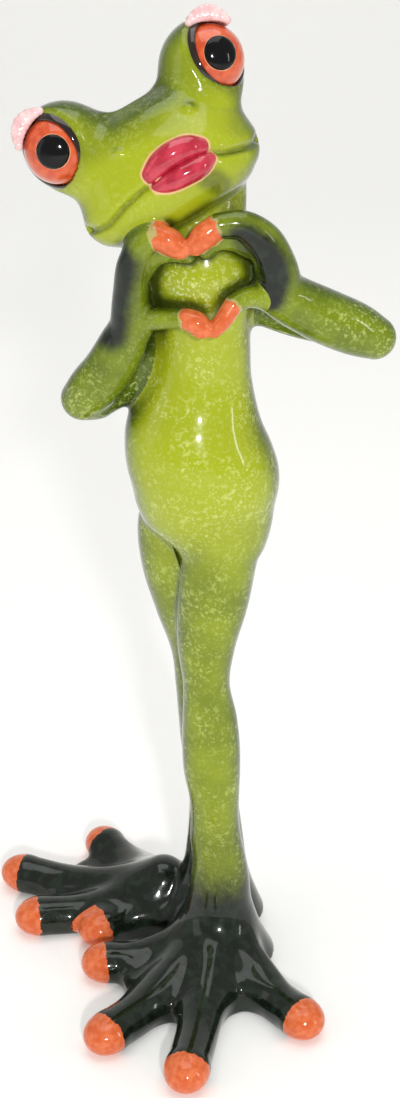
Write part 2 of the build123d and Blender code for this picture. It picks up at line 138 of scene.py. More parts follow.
# Edge of the web round each knuckle: heading in degrees, and reach
left_web = [
    (-171.7, 25.0), (-160.0, 27.0), (-146.0, 29.5), (-131.5, 34.0), (-121.0, 27.5), (-114.0, 26.5),
    (-100.3, 35.0), (-90.0, 25.0), (-74.0, 20.5), (-60.0, 22.5), (-51.7, 25.5), (-30.0, 13.5),
    (20.0, 9.0), (90.0, 11.0), (150.0, 12.0), (176.0, 17.0),
]
right_web = [
    (-149.0, 19.0), (-160.0, 24.0), (-170.5, 31.0), (178.0, 34.0), (170.0, 36.5), (162.1, 39.0),
    (150.0, 36.0), (138.0, 34.5), (125.6, 30.0), (95.0, 17.0), (50.0, 18.0), (0.0, 20.0),
    (-50.0, 15.0), (-100.0, 13.0), (-130.0, 14.0),
]
# Height of the web's skin at distances from the ankle
web_heights = [(0, 26), (8, 18.5), (10.3, 14.8), (13, 11.6), (17, 9.4), (24, 7.6), (34, 5.6), (60, 3.6)]
web_edge_slope, web_top_slope, web_melt, web_margin, web_top = 0.9, 0.8, 3.2, 2, 22
foot_top = 34.0

# Arms and hands: place and radius along each limb
left_limbs = {
    "upper_arm": [(7.5, 2.5, 187.5, 4.8), (22.0, 1.0, 182.4, 4.9), (33.5, -0.8, 179.6, 4.2)],
    "forearm": [(39.4, -2.0, 178.2, 5.0), (35.6, -3.0, 180.2, 5.9), (28.6, -5.0, 183.7, 6.2),
                (21.5, -7.2, 187.7, 5.8)],
    "hand": [(17.6, -9.0, 190.4, 5.3), (16.2, -11.3, 197.6, 4.6), (13.0, -13.9, 204.0, 3.9),
             (8.6, -15.5, 207.2, 3.1), (4.2, -16.1, 207.2, 2.7)],
    "index_tip": [(2.9, -16.3, 206.6, 2.5), (0.8, -16.6, 205.0, 2.8), (-1.0, -16.8, 203.0, 2.2)],
    "middle_finger": [(11.0, -12.6, 201.6, 2.5), (7.2, -13.8, 203.3, 2.2), (3.8, -14.2, 203.4, 2.1),
                      (1.2, -14.2, 201.2, 1.7)],
    "thumb": [(14.0, -11.0, 190.6, 3.2), (10.4, -13.5, 191.0, 2.5), (7.4, -15.2, 190.0, 2.1)],
    "thumb_tip": [(6.8, -15.6, 189.2, 2.1), (5.0, -16.5, 186.6, 2.0), (3.0, -17.0, 184.4, 1.7)],
}
right_limbs = {
    "upper_arm": [(-7.5, 2.5, 180.0, 5.5), (-16.0, 1.5, 170.2, 6.6), (-24.0, -0.5, 163.8, 5.5)],
    "forearm": [(-26.9, -2.0, 163.7, 5.1), (-24.6, -3.6, 166.6, 5.7), (-20.9, -5.6, 171.6, 5.7),
                (-17.2, -7.6, 178.6, 5.3)],
    "hand": [(-15.0, -9.4, 183.6, 4.9), (-15.0, -11.5, 191.4, 4.0), (-14.0, -14.0, 198.8, 3.6),
             (-11.4, -15.6, 204.0, 3.0), (-9.6, -16.0, 205.0, 2.6)],
    "index_tip": [(-8.9, -16.2, 205.0, 2.6), (-6.6, -16.5, 203.9, 2.9), (-4.4, -16.7, 202.2, 2.2)],
    "middle_finger": [(-12.4, -12.4, 196.6, 2.5), (-9.6, -13.8, 199.9, 2.2), (-6.6, -14.2, 200.9, 2.1),
                      (-2.6, -14.2, 200.2, 1.7)],
    "thumb": [(-12.6, -10.6, 185.2, 2.9), (-7.6, -14.2, 186.3, 2.4), (-3.6, -15.6, 186.6, 2.2)],
    "thumb_tip": [(-2.6, -15.9, 186.7, 2.3), (-0.6, -16.5, 185.8, 2.6), (0.3, -16.7, 184.9, 2.4)],
}
chest_place, chest_radii = (0.2, -3.6, 194.0), (13.4, 8.8, 11.0)

# How widely each form melts into the clay that it is added to, in the order of adding
leg_melts = {"left": 6.0, "right": 1.6}
skull_melt, muzzle_melt, chest_melt, brow_melt, mound_melt = 3.5, 4.0, 5.0, 5.0, 4.0
arm_melts = {"upper_arm": 3.5, "forearm": 1.2, "hand": 2.4, "middle_finger": 0.8, "index_tip": 0.8,
             "thumb": 1.4, "thumb_tip": 0.5}
toe_melt, tip_melt, floor_melt = 3.6, 1.2, 0.8
foot_melts = {"left": 3.0, "right": 2.0}


def smooth(xs, ys, at):
    """Smooth curve through (xs, ys), read at other places."""
    slopes = np.gradient(ys, xs)
    i = np.clip(np.searchsorted(xs, at) - 1, 0, len(xs) - 2)
    h = xs[i + 1] - xs[i]
    t = np.clip((at - xs[i]) / h, 0, 1)
    return ((2 * t ** 3 - 3 * t ** 2 + 1) * ys[i] + (t ** 3 - 2 * t ** 2 + t) * h * slopes[i]
            + (3 * t ** 2 - 2 * t ** 3) * ys[i + 1] + (t ** 3 - t ** 2) * h * slopes[i + 1])


def melt_together(a, b, melt):
    """The nearer of two distances, rounded where both are within melt of each other."""
    if not melt:
        return np.minimum(a, b)
    near = np.maximum(melt - np.abs(a - b), 0) / melt
    return np.minimum(a, b) - near ** 2 * melt / 4


def fade(start, end, value):
    """0 at start, 1 at end, smooth between."""
    t = np.clip((value - start) / (end - start), 0, 1)
    return t * t * (3 - 2 * t)


def turn(axis, angle):
    """Matrix that turns about one axis, by degrees."""
    c, s = cos(radians(angle)), sin(radians(angle))
    i, j = {"x": (1, 2), "y": (2, 0), "z": (0, 1)}[axis]
    matrix = np.eye(3)
    matrix[i, i] = matrix[j, j] = c
    matrix[j, i], matrix[i, j] = s, -s
    return matrix


head_axes = turn("y", head_tilt) @ turn("z", head_turn) @ turn("x", head_lift)


def to_head(x, y, z):
    """Places beside the torso's line, read in the head's frame."""
    dx, dy, dz = x - head_place[0], y - head_place[1], z - head_place[2]
    return [dx * head_axes[0, i] + dy * head_axes[1, i] + dz * head_axes[2, i] for i in range(3)]


def from_head(point):
    """A place in the head's frame, read beside the torso's line."""
    return np.array(head_place) + head_axes @ np.array(point, float)


class Form:
    """A simple solid: its distance function and the box that holds it."""

    def __init__(self, distance, low, high):
        self.distance, self.low, self.high = distance, np.array(low, float), np.array(high, float)


def stack(rows, head=False):
    """Ovals on top of each other: legs, torso and skull."""
    z, x, y, a, b = np.array(rows, float).T
    fine_z = np.linspace(z[0], z[-1], 300)
    dense = [smooth(z, column, fine_z) for column in (x, y, a, b)]

    def distance(px, py, pz):
        if head:
            px, py, pz = to_head(px, py, pz)
        cx, cy, wide, deep = [np.interp(pz, fine_z, column) for column in dense]
        u, v = (px - cx) / wide, (py - cy) / deep
        r = np.sqrt(u * u + v * v) + 1e-6
        side = (r - 1) * r / np.sqrt((u / wide) ** 2 + (v / deep) ** 2 + 1e-9)
        over = np.maximum(z[0] - pz, pz - z[-1])
        return np.where(over > 0, np.sqrt(np.maximum(side, 0) ** 2 + over ** 2), np.maximum(side, over))

    if head:
        reach = max(a.max(), b.max(), -z[0]) + head_margin
        return Form(distance, np.array(head_place) - reach - head_margin, np.array(head_place) + reach)
    return Form(distance, (min(x - a), min(y - b), z[0]), (max(x + a), max(y + b), z[-1]))


def route(points, per_run=8):
    """Points along a smooth line through given points, radius included."""
    points = np.array(points, float)
    steps = np.linalg.norm(np.diff(points[:, :3], axis=0), axis=1)
    at = np.concatenate([[0], np.cumsum(steps)])
    dense = np.linspace(0, at[-1], per_run * (len(points) - 1) + 1)
    return np.stack([smooth(at, column, dense) for column in points.T], -1)


def limb(points, head=False):
    """A round limb along a route."""
    line = route(points)
    if head:
        line = np.column_stack([[from_head(p) for p in line[:, :3]], line[:, 3]])

    def distance(px, py, pz):
        best = far
        for (ax, ay, az, ar), (bx, by, bz, br) in zip(line[:-1], line[1:]):
            dx, dy, dz = bx - ax, by - ay, bz - az
            length = dx * dx + dy * dy + dz * dz
            t = np.clip(((px - ax) * dx + (py - ay) * dy + (pz - az) * dz) / length, 0, 1)
            apart = np.sqrt((px - ax - t * dx) ** 2 + (py - ay - t * dy) ** 2 + (pz - az - t * dz) ** 2)
            best = np.minimum(best, apart - ar - (br - ar) * t)
        return best

    widest = line[:, 3].max()
    return Form(distance, line[:, :3].min(0) - widest, line[:, :3].max(0) + widest)


def face_line(points):
    """A line drawn on the face: across and up in the head's frame, at any depth in front."""
    line = np.array(points, float)

    def distance(px, py, pz):
        hx, hy, hz = to_head(px, py, pz)
        best = np.where(hy < 0, 0, far)
        apart = far
        for (ax, az), (bx, bz) in zip(line[:-1], line[1:]):
            dx, dz = bx - ax, bz - az
            t = np.clip(((hx - ax) * dx + (hz - az) * dz) / (dx * dx + dz * dz + 1e-9), 0, 1)
            apart = np.minimum(apart, np.hypot(hx - ax - t * dx, hz - az - t * dz))
        return best + apart

    ends = np.array([from_head((x, y, z)) for x, z in line for y in (face_front, 0)])
    return Form(distance, ends.min(0), ends.max(0))


def ball(centre, radii, axes=np.eye(3)):
    """An oval ball, with its axes in the columns of a matrix."""
    centre, radii = np.array(centre, float), np.array(radii, float)

    def distance(px, py, pz):
        d = [(px - centre[0]) * axes[0, i] + (py - centre[1]) * axes[1, i] + (pz - centre[2]) * axes[2, i]
             for i in range(3)]
        near = np.sqrt(sum((d[i] / radii[i]) ** 2 for i in range(3))) + 1e-6
        steep = np.sqrt(sum((d[i] / radii[i] ** 2) ** 2 for i in range(3))) + 1e-6
        return near * (near - 1) / steep

    return Form(distance, centre - radii.max(), centre + radii.max())


def mound(centre, outward):
    """Raised mound behind an eye, with a flat opening that faces outward."""
    body = ball(centre - outward * mound_behind, (mound_radius,) * 3)

    def distance(px, py, pz):
        ahead = sum((p - c) * o for p, c, o in zip((px, py, pz), centre, outward)) - lid_rise
        return -melt_together(-body.distance(px, py, pz), -ahead, lid_melt)

    return Form(distance, body.low, body.high)


def web(knuckle, ankle, edge):
    """Skin between the toes: a thin sheet that climbs to the ankle, inside its own outline."""
    headings, reaches = np.array(edge, float).T
    order = np.argsort(headings)
    headings, reaches = headings[order], reaches[order]
    wrapped = np.concatenate([headings - 360, headings, headings + 360])
    dense = np.linspace(-180, 180, 361)
    outline = smooth(wrapped, np.tile(reaches, 3), dense)
    heights = np.array(web_heights)

    def distance(px, py, pz):
        dx, dy = px - knuckle[0], py - knuckle[1]
        heading = np.degrees(np.arctan2(dy, dx))
        out = np.hypot(dx, dy) - np.interp(heading, dense, outline)
        from_ankle = np.hypot(px - ankle[0], py - ankle[1])
        top = pz - smooth(heights[:, 0], heights[:, 1], from_ankle)
        return -melt_together(-out * web_edge_slope, -top * web_top_slope, web_melt)

    reach, (x, y) = reaches.max() + web_margin, knuckle
    return Form(distance, (x - reach, y - reach, 0), (x + reach, y + reach, web_top))


class Clay:
    """A block of clay on a grid, to which forms are added and from which they are carved."""

    def __init__(self, low, high, grain):
        self.low, self.grain = np.array(low, float), grain
        count = np.ceil((np.array(high) - self.low) / grain).astype(int) + 1
        self.value = np.full(count, far, np.float32)

    def near(self, form, melt):
        """The stretch of the grid round a form, and the places in it."""
        first = np.floor((form.low - melt - margin - self.low) / self.grain).astype(int)
        last = np.ceil((form.high + melt + margin - self.low) / self.grain).astype(int) + 1
        first, last = np.maximum(first, 0), np.minimum(last, self.value.shape)
        if (first >= last).any():
            return None, None
        axes = [(self.low[i] + self.grain * np.arange(first[i], last[i])).astype(np.float32)
                for i in range(3)]
        place = tuple(slice(a, b) for a, b in zip(first, last))
        return place, (axes[0][:, None, None], axes[1][None, :, None], axes[2][None, None, :])

    def add(self, form, melt=0.0):
        """Lays a form on, melted into what is there."""
        place, points = self.near(form, melt)
        if place:
            self.value[place] = melt_together(self.value[place], form.distance(*points), melt)

    def carve(self, form, melt=0.0):
        """Takes a form's space away."""
        place, points = self.near(form, melt)
        if place:
            self.value[place] = -melt_together(-self.value[place], form.distance(*points), melt)

    def press(self, form, depth, width):
        """Presses a soft groove, or with a negative depth raises a ridge, along a thin form."""
        place, points = self.near(form, 3 * width)
        if place:
            apart = np.maximum(form.distance(*points), 0)
            self.value[place] += (depth * np.exp(-(apart / width) ** 2)).astype(np.float32)

    def read(self, points):
        """The distance at any places."""
        at = np.clip((points - self.low) / self.grain, 0, np.array(self.value.shape) - 1.001)
        i = at.astype(int)
        t = at - i
        total = 0
        for corner in np.ndindex(2, 2, 2):
            weight = np.prod([t[:, k] if corner[k] else 1 - t[:, k] for k in range(3)], axis=0)
            total = total + weight * self.value[tuple((i + corner).T)]
        return total

    def slope(self, points):
        """Direction in which the distance grows, and how fast."""
        steps = self.grain * np.eye(3)
        return np.stack([self.read(points + step) - self.read(points - step) for step in steps],
                        -1) / (2 * self.grain)

    def surface_cells(self, inside):
        """The grid cells that the surface runs through, and a table of their numbers."""
        cells = tuple(n - 1 for n in inside.shape)
        filled = np.zeros(cells, np.int8)
        for corner in np.ndindex(2, 2, 2):
            filled += inside[tuple(slice(c, c + n) for c, n in zip(corner, cells))]
        active = (filled > 0) & (filled < 8)
        cell = np.argwhere(active)
        number = np.full(cells, -1, np.int64)
        number[active] = np.arange(len(cell))
        return cell, number

    def cell_points(self, cell):
        """A point in each cell, amid the places where the surface crosses its edges."""
        total, crossings = np.zeros((len(cell), 3)), np.zeros(len(cell))
        for axis in range(3):
            for others in np.ndindex(2, 2):
                start = np.insert(np.array(others), axis, 0)
                end = start + np.eye(3, dtype=int)[axis]
                a, b = (self.value[tuple((cell + corner).T)] for corner in (start, end))
                crossed = (a < 0) != (b < 0)
                t = np.where(crossed, a / np.where(crossed, a - b, 1), 0)
                total += crossed[:, None] * (start + t[:, None] * (end - start))
                crossings += crossed
        return self.low + self.grain * (cell + total / crossings[:, None])

    def cell_faces(self, inside, number):
        """Four-sided faces between neighbouring cells, seen from outside."""
        shape, faces = inside.shape, []
        for axis in range(3):
            ahead = tuple(slice(1, None) if k == axis else slice(None) for k in range(3))
            behind = tuple(slice(None, -1) if k == axis else slice(None) for k in range(3))
            leaving, entering = inside[behind] & ~inside[ahead], ~inside[behind] & inside[ahead]
            j, k = (axis + 1) % 3, (axis + 2) % 3
            for changed, order in ((leaving, (0, 1, 2, 3)), (entering, (3, 2, 1, 0))):
                place = np.argwhere(changed)
                place = place[(place[:, j] > 0) & (place[:, k] > 0)
                              & (place[:, j] < shape[j] - 1) & (place[:, k] < shape[k] - 1)]
                corners = []
                for dj, dk in ((1, 1), (0, 1), (0, 0), (1, 0)):
                    at = place.copy()
                    at[:, j] -= dj
                    at[:, k] -= dk
                    corners.append(number[tuple(at.T)])
                quad = np.stack(corners, -1)[:, order]
                faces.append(quad[(quad >= 0).all(1)])
        return np.concatenate(faces)

    def settled(self, points):
        """Points drawn along the slope until they lie on the surface."""
        for _ in range(3):
            rise = self.slope(points)
            points = points - rise * (self.read(points) / ((rise ** 2).sum(1) + 1e-6))[:, None]
        return points

    def skin(self):
        """Closed triangle mesh of the clay's surface."""
        inside = self.value < 0
        cell, number = self.surface_cells(inside)
        points = self.settled(self.cell_points(cell))
        quads = self.cell_faces(inside, number)
        one, other = (np.linalg.norm(points[quads[:, i]] - points[quads[:, i + 2]], axis=1) for i in (0, 1))
        short = (one <= other)[:, None]
        first = np.where(short, quads[:, [0, 1, 2]], quads[:, [0, 1, 3]])
        second = np.where(short, quads[:, [0, 2, 3]], quads[:, [1, 2, 3]])
        normals = self.slope(points)
        normals /= np.linalg.norm(normals, axis=1)[:, None] + 1e-9
        return Skin(points, normals, np.concatenate([first, second]))


class Skin:
    """A closed triangle mesh with a normal at each point."""

    def __init__(self, points, normals, faces):
        self.points, self.normals, self.faces = points, normals, faces

    def used(self):
        """Without the points that no face needs."""
        keep, faces = np.unique(self.faces, return_inverse=True)
        return Skin(self.points[keep], self.normals[keep], faces.reshape(-1, 3))

    def cut(self, side):
        """The part where side is below zero and the part where it is above, each closed by a cap."""
        side = np.where(np.abs(side) < 0.02, 0.02, side)
        below = side[self.faces] < 0
        count = below.sum(1)
        mixed = (count == 1) | (count == 2)
        tri, low = self.faces[mixed], below[mixed]
        lone = np.where(count[mixed] == 1, low.argmax(1), (~low).argmax(1))
        rows = np.arange(len(tri))
        a, b, c = tri[rows, lone], tri[rows, (lone + 1) % 3], tri[rows, (lone + 2) % 3]
        edges = np.sort(np.concatenate([np.stack([a, b], -1), np.stack([a, c], -1)]), axis=1)
        edges, which = np.unique(edges, axis=0, return_inverse=True)
        which = which.reshape(-1)
        t = (side[edges[:, 0]] / (side[edges[:, 0]] - side[edges[:, 1]]))[:, None]
        new = self.points[edges[:, 0]] * (1 - t) + self.points[edges[:, 1]] * t
        new_normals = self.normals[edges[:, 0]] * (1 - t) + self.normals[edges[:, 1]] * t
        new_normals /= np.linalg.norm(new_normals, axis=1)[:, None] + 1e-9
        base = len(self.points)
        ab, ac = base + which[:len(tri)], base + which[len(tri):]
        lone_below = count[mixed] == 1
        tip = np.stack([a, ab, ac], -1)
        foot = np.concatenate([np.stack([ab, b, c], -1), np.stack([ab, c, ac], -1)])
        foot_below = np.concatenate([~lone_below, ~lone_below])
        points = np.concatenate([self.points, new])
        normals = np.concatenate([self.normals, new_normals])
        parts = []
        for wanted in (True, False):
            faces = np.concatenate([self.faces[count == (3 if wanted else 0)],
                                    tip[lone_below == wanted], foot[foot_below == wanted]])
            parts.append(Skin(points, normals, faces).capped())
        return parts

    def capped(self):
        """Closes each open loop with a fan round its middle."""
        if not len(self.faces):
            return self
        half = np.concatenate([self.faces[:, [0, 1]], self.faces[:, [1, 2]], self.faces[:, [2, 0]]])
        forward = half[:, 0] * len(self.points) + half[:, 1]
        backward = half[:, 1] * len(self.points) + half[:, 0]
        rim = half[~np.isin(forward, backward)]
        following = {}
        for a, b in rim:
            following.setdefault(int(a), []).append(int(b))
        points, normals, caps = [self.points], [self.normals], []
        middle = len(self.points)
        while following:
            start = next(iter(following))
            loop = [start]
            while loop[-1] in following:
                onward = following[loop[-1]].pop()
                if not following[loop[-1]]:
                    del following[loop[-1]]
                if onward == start:
                    break
                loop.append(onward)
            loop = np.array(loop)
            points.append(self.points[loop].mean(0)[None])
            normals.append(-self.normals[loop].mean(0)[None])
            caps.append(np.stack([np.roll(loop, -1), loop, np.full(len(loop), middle)], -1))
            middle += 1
        points, normals = np.concatenate(points), np.concatenate(normals)
        return Skin(points, normals, np.concatenate([self.faces] + caps)).used()


# Each eye's middle, the way its opening faces, the way it looks, and its side's sign
eyes = {}
for side, sign in sides.items():
    centre = from_head((sign * eye_side, 0, 0))
    outward, gaze = (head_axes @ np.array([sign * sin(radians(angle)), -cos(radians(angle)), 0])
                     for angle in (eye_outward, gaze_outward))
    eyes[side] = (centre, outward, gaze, sign)


def toe_forms(knuckle, toes):
    """Each toe's limb and tip, with the line that it follows over the floor."""
    made = []
    for heading, reach in toes:
        along = np.array([cos(radians(heading)), sin(radians(heading)), 0])
        start = np.array([*knuckle, 0.0])

        def at(share, height, radius):
            return (*(start + along * reach * share + np.array([0, 0, height])), radius)

        seam = reach - tip_share * tip_half_length
        toe = limb([at(*row) for row in toe_rows] + [at(seam / reach, toe_end_height, toe_end_radius)])
        axes = np.column_stack([along, np.cross((0, 0, 1), along), (0, 0, 1)])
        tip = ball(start + along * reach + np.array([0, 0, tip_half_height - tip_sunk]),
                   (tip_half_length, tip_half_width, tip_half_height), axes)
        made.append((toe, tip, start, along, seam))
    return made


torso_form = stack(torso_rows)
chest_form = ball(chest_place, chest_radii)
skull_form = stack(skull_rows, head=True)
muzzle_form = ball(from_head(muzzle_place), muzzle_radii, head_axes)
mound_forms = {side: mound(centre, outward) for side, (centre, outward, _, _) in eyes.items()}
brow_forms = {side: limb([(sign * across, *rest) for across, *rest in brow_points], head=True)
              for side, sign in sides.items()}
mouth_lines = [face_line(points) for points in mouth_points]
nostrils = [face_line(points) for points in nostril_points]
lip_forms = {name: limb(points, head=True) for name, points in lip_points.items()}
limbs = {side: {name: limb(points) for name, points in table.items()}
         for side, table in (("left", left_limbs), ("right", right_limbs))}
leg_forms = {"left": stack(left_leg_rows), "right": stack(right_leg_rows)}
web_forms = {"left": web(left_knuckle, left_ankle, left_web),
             "right": web(right_knuckle, right_ankle, right_web)}
toes = {"left": toe_forms(left_knuckle, left_toes), "right": toe_forms(right_knuckle, right_toes)}


def shape_upper():
    """Torso, head, arms and hands."""
    clay = Clay(*upper_block, body_grain)
    clay.add(torso_form)
    for side in sides:
        clay.add(leg_forms[side], leg_melts[side])
    clay.add(skull_form, skull_melt)
    clay.add(muzzle_form, muzzle_melt)
    clay.add(chest_form, chest_melt)
    for side in sides:
        clay.add(brow_forms[side], brow_melt)
        clay.add(mound_forms[side], mound_melt)
    for centre, *_ in eyes.values():
        clay.carve(ball(centre, (eye_radius + socket_play,) * 3))
    for line in mouth_lines:
        clay.press(line, mouth_depth, mouth_width)
    for spot in nostrils:
        clay.press(spot, -nostril_height, nostril_width)
    for side in sides:
        for name, melt in arm_melts.items():
            clay.add(limbs[side][name], melt)
    return clay


def shape_lower():
    """Legs and feet, flat where they meet the floor."""
    clay = Clay(*lower_block, leg_grain)
    clay.add(torso_form)
    for side in sides:
        clay.add(leg_forms[side], leg_melts[side])
    across, back, up = clay.low + clay.grain * (np.array(clay.value.shape) - 1)
    for side in sides:
        foot = Clay(clay.low, (across, back, foot_top), clay.grain)
        foot.add(web_forms[side])
        for toe, tip, *_ in toes[side]:
            foot.add(toe, toe_melt)
            foot.add(tip, tip_melt)
        high = foot.value.shape[2]
        clay.value[:, :, :high] = melt_together(clay.value[:, :, :high], foot.value, foot_melts[side])
    heights = (clay.low[2] + clay.grain * np.arange(clay.value.shape[2]))[None, None, :]
    clay.value = -melt_together(-clay.value, heights, floor_melt).astype(np.float32)
    return clay


def distances(skin, forms):
    """How far each point of a skin is from the nearest of some forms."""
    x, y, z = skin.points.T
    return np.minimum.reduce([form.distance(x, y, z) for form in forms])


def part_body(body):
    """Head, arms and torso, parted where each form gives way to the rest, then the eyes' mounds."""
    owners = {"head": [skull_form, muzzle_form, *mound_forms.values(), *brow_forms.values()],
              "torso": [torso_form, chest_form]}
    for side in sides:
        owners.update({f"{name}_{side}": [form] for name, form in limbs[side].items()})
    pieces, rest = {}, body
    for name in [key for key in owners if key != "torso"]:
        waiting = [key for key in owners if key != name and key not in pieces]
        others = [form for key in waiting for form in owners[key]]
        own = distances(rest, owners[name])
        pieces[name], rest = rest.cut(own - distances(rest, others))
    pieces["torso"] = rest
    for side, (centre, *_) in eyes.items():
        apart = np.linalg.norm(pieces["head"].points - centre, axis=1)
        pieces[f"eye_mound_{side}"], pieces["head"] = pieces["head"].cut(apart - mound_radius - mound_skirt)
    return pieces


def part_foot(side, foot):
    """Toe tips and toes, cut off one after another, and the foot that is left."""
    pieces = {}
    for i, (_, _, start, along, seam) in enumerate(toes[side]):
        root = toe_root_share * (seam + toe_root_beyond)
        for name, limit in ((f"toe_tip_{side}_{i + 1}", seam), (f"toe_{side}_{i + 1}", root)):
            flat = (foot.points - start)[:, :2]
            beyond = limit - flat @ along[:2]
            for j in (i - 1, i + 1):
                if 0 <= j < len(toes[side]):
                    between = along[:2] - toes[side][j][3][:2]
                    beyond = np.maximum(beyond, -(flat @ between) / np.linalg.norm(between))
            pieces[name], foot = foot.cut(beyond)
    pieces[f"foot_{side}"] = foot
    return pieces


def part_legs(both):
    """The two legs, each parted from its foot at the ankle."""
    left, right = ([leg_forms[side], web_forms[side]] + [form for toe in toes[side] for form in toe[:2]]
                   for side in sides)
    pieces = {}
    for side, half in zip(sides, both.cut(distances(both, left) - distances(both, right))):
        foot, pieces[f"leg_{side}"] = half.cut(half.points[:, 2] - ankle_height)
        pieces.update(part_foot(side, foot))
    return pieces


def small_clay(forms, melt=0):
    """Finer clay for what is shaped on its own."""
    low = np.min([form.low for form in forms], axis=0) - small_margin
    high = np.max([form.high for form in forms], axis=0) + small_margin
    clay = Clay(low, high, fine)
    for form in forms:
        clay.add(form, melt)
    return clay


def tuft_ridges(side):
    """Ridges of a brow tuft, fanned over the eye's mound in three rows."""
    sign, middle = sides[side], (tuft_count - 1) / 2
    ridges = []
    for i, angle in enumerate(np.radians(np.linspace(*tuft_turns[side], tuft_count))):
        away = np.array([sign * sin(angle), 0, cos(angle)])
        girth = ridge_girth - ridge_thinner * abs(i - middle)
        reach = tuft_outer - ridge_shorter * (i - middle) ** 2
        for back in tuft_backs:
            root, end = (away * r + np.array([sign * eye_side, back, 0]) for r in (tuft_inner, reach))
            ridges.append(limb([(*root, girth), (*((root + end) / 2), girth), (*end, girth * ridge_taper)],
                               head=True))
    return ridges


def turned(profile, centre, axis, count=96, width=None):
    """Closed solid turned about an axis: profile rows (radius, height), pole to pole or as a ring."""
    axis = axis / np.linalg.norm(axis)
    across = np.cross(axis, head_axes[:, 2])
    across /= np.linalg.norm(across)
    up = np.cross(axis, across)
    profile = np.array(profile, float)
    ring = profile[0, 0] > 0
    turns = 2 * pi * np.arange(count) / count
    points = []
    for r, h in profile:
        if r == 0:
            points.append((centre + axis * h)[None])
            continue
        radius = np.full(count, r) if width is None else width(turns, r)
        points.append(centre + axis * h + radius[:, None] * (np.cos(turns)[:, None] * across
                                                             + np.sin(turns)[:, None] * up))
    starts = np.cumsum([0] + [len(row) for row in points])
    i = np.arange(count)
    j = (i + 1) % count
    faces = []
    rows = len(profile)
    for k in range(rows if ring else rows - 1):
        a, b = starts[k], starts[(k + 1) % rows]
        if len(points[k]) == 1:
            faces.append(np.stack([np.full(count, a), b + j, b + i], -1))
        elif len(points[(k + 1) % rows]) == 1:
            faces.append(np.stack([np.full(count, b), a + i, a + j], -1))
        else:
            faces.append(np.stack([a + i, a + j, b + j], -1))
            faces.append(np.stack([a + i, b + j, b + i], -1))
    points, faces = np.concatenate(points), np.concatenate(faces)
    corners = points[faces]
    flat = np.cross(corners[:, 1] - corners[:, 0], corners[:, 2] - corners[:, 0])
    volume = (corners[:, 0] * flat).sum()
    if volume < 0:
        faces, flat = faces[:, ::-1], -flat
    normals = np.zeros_like(points)
    for k in range(3):
        np.add.at(normals, faces[:, k], flat)
    normals /= np.linalg.norm(normals, axis=1)[:, None]
    return Skin(points, normals, faces)


def eye_ball(centre, gaze):
    """The painted ball, with its poles along the gaze."""
    arc = np.radians(np.linspace(0, 180, 49))
    profile = [(eye_radius * sin(a) if 0 < a < pi else 0, eye_radius * cos(a)) for a in arc]
    return turned(profile, centre, gaze)


def painted_pupil(centre, gaze):
    """A raised drop of black on the front of the ball."""
    front = eye_radius + pupil_rise
    cap = [(pupil_radius * t, sqrt(front ** 2 - (pupil_radius * t) ** 2) - pupil_slump * t ** 8)
           for t in np.linspace(0, 1, 13)]
    waist = (pupil_radius * pupil_waist, sqrt(eye_radius ** 2 - pupil_radius ** 2) - pupil_depth)
    return turned([*cap, waist, (0, eye_radius - pupil_root)], centre, gaze)


def eye_rim(centre, outward, sign):
    """Ring round the mound's opening, widest towards the middle of the face."""
    spread, inner_turn = rim_outer - rim_inner, pi if sign > 0 else 0

    def width(turns, r):
        share = (r - rim_inner) / spread
        return rim_inner + share * spread * (rim_even + rim_wider * np.cos(turns - inner_turn)) \
            + rim_wave * np.sin(rim_waves * turns + 1) * (1 - share)

    ring = []
    for a in np.radians(np.arange(0, 360, 18)):
        r = (rim_inner + rim_outer) / 2 + spread / 2 * cos(a)
        ring.append((r, rim_opening + (rim_outer - r) / spread * rim_lean + rim_top * sin(a)))
    return turned(ring, centre, outward, 120, width)


upper_clay, lower_clay = shape_upper(), shape_lower()
small_clays = {name: small_clay([form]) for name, form in lip_forms.items()}
small_clays |= {f"brow_tuft_{side}": small_clay(tuft_ridges(side), tuft_melt) for side in sides}
upper_skin, lower_skin = upper_clay.skin(), lower_clay.skin()
_, body_skin = upper_skin.cut(upper_skin.points[:, 2] - hip_height)
legs_skin, _ = lower_skin.cut(lower_skin.points[:, 2] - hip_height)
skins = part_body(body_skin) | part_legs(legs_skin)
skins |= {name: clay.skin() for name, clay in small_clays.items()}
for side, (centre, outward, gaze, sign) in eyes.items():
    skins[f"eye_{side}"] = eye_ball(centre, gaze)
    skins[f"pupil_{side}"] = painted_pupil(centre, gaze)
    skins[f"eye_rim_{side}"] = eye_rim(centre, outward, sign)


def bare_line(*places):
    """A line without girth, round which dark paint and painted shade are laid."""
    return limb([(*place, 0) for place in places])
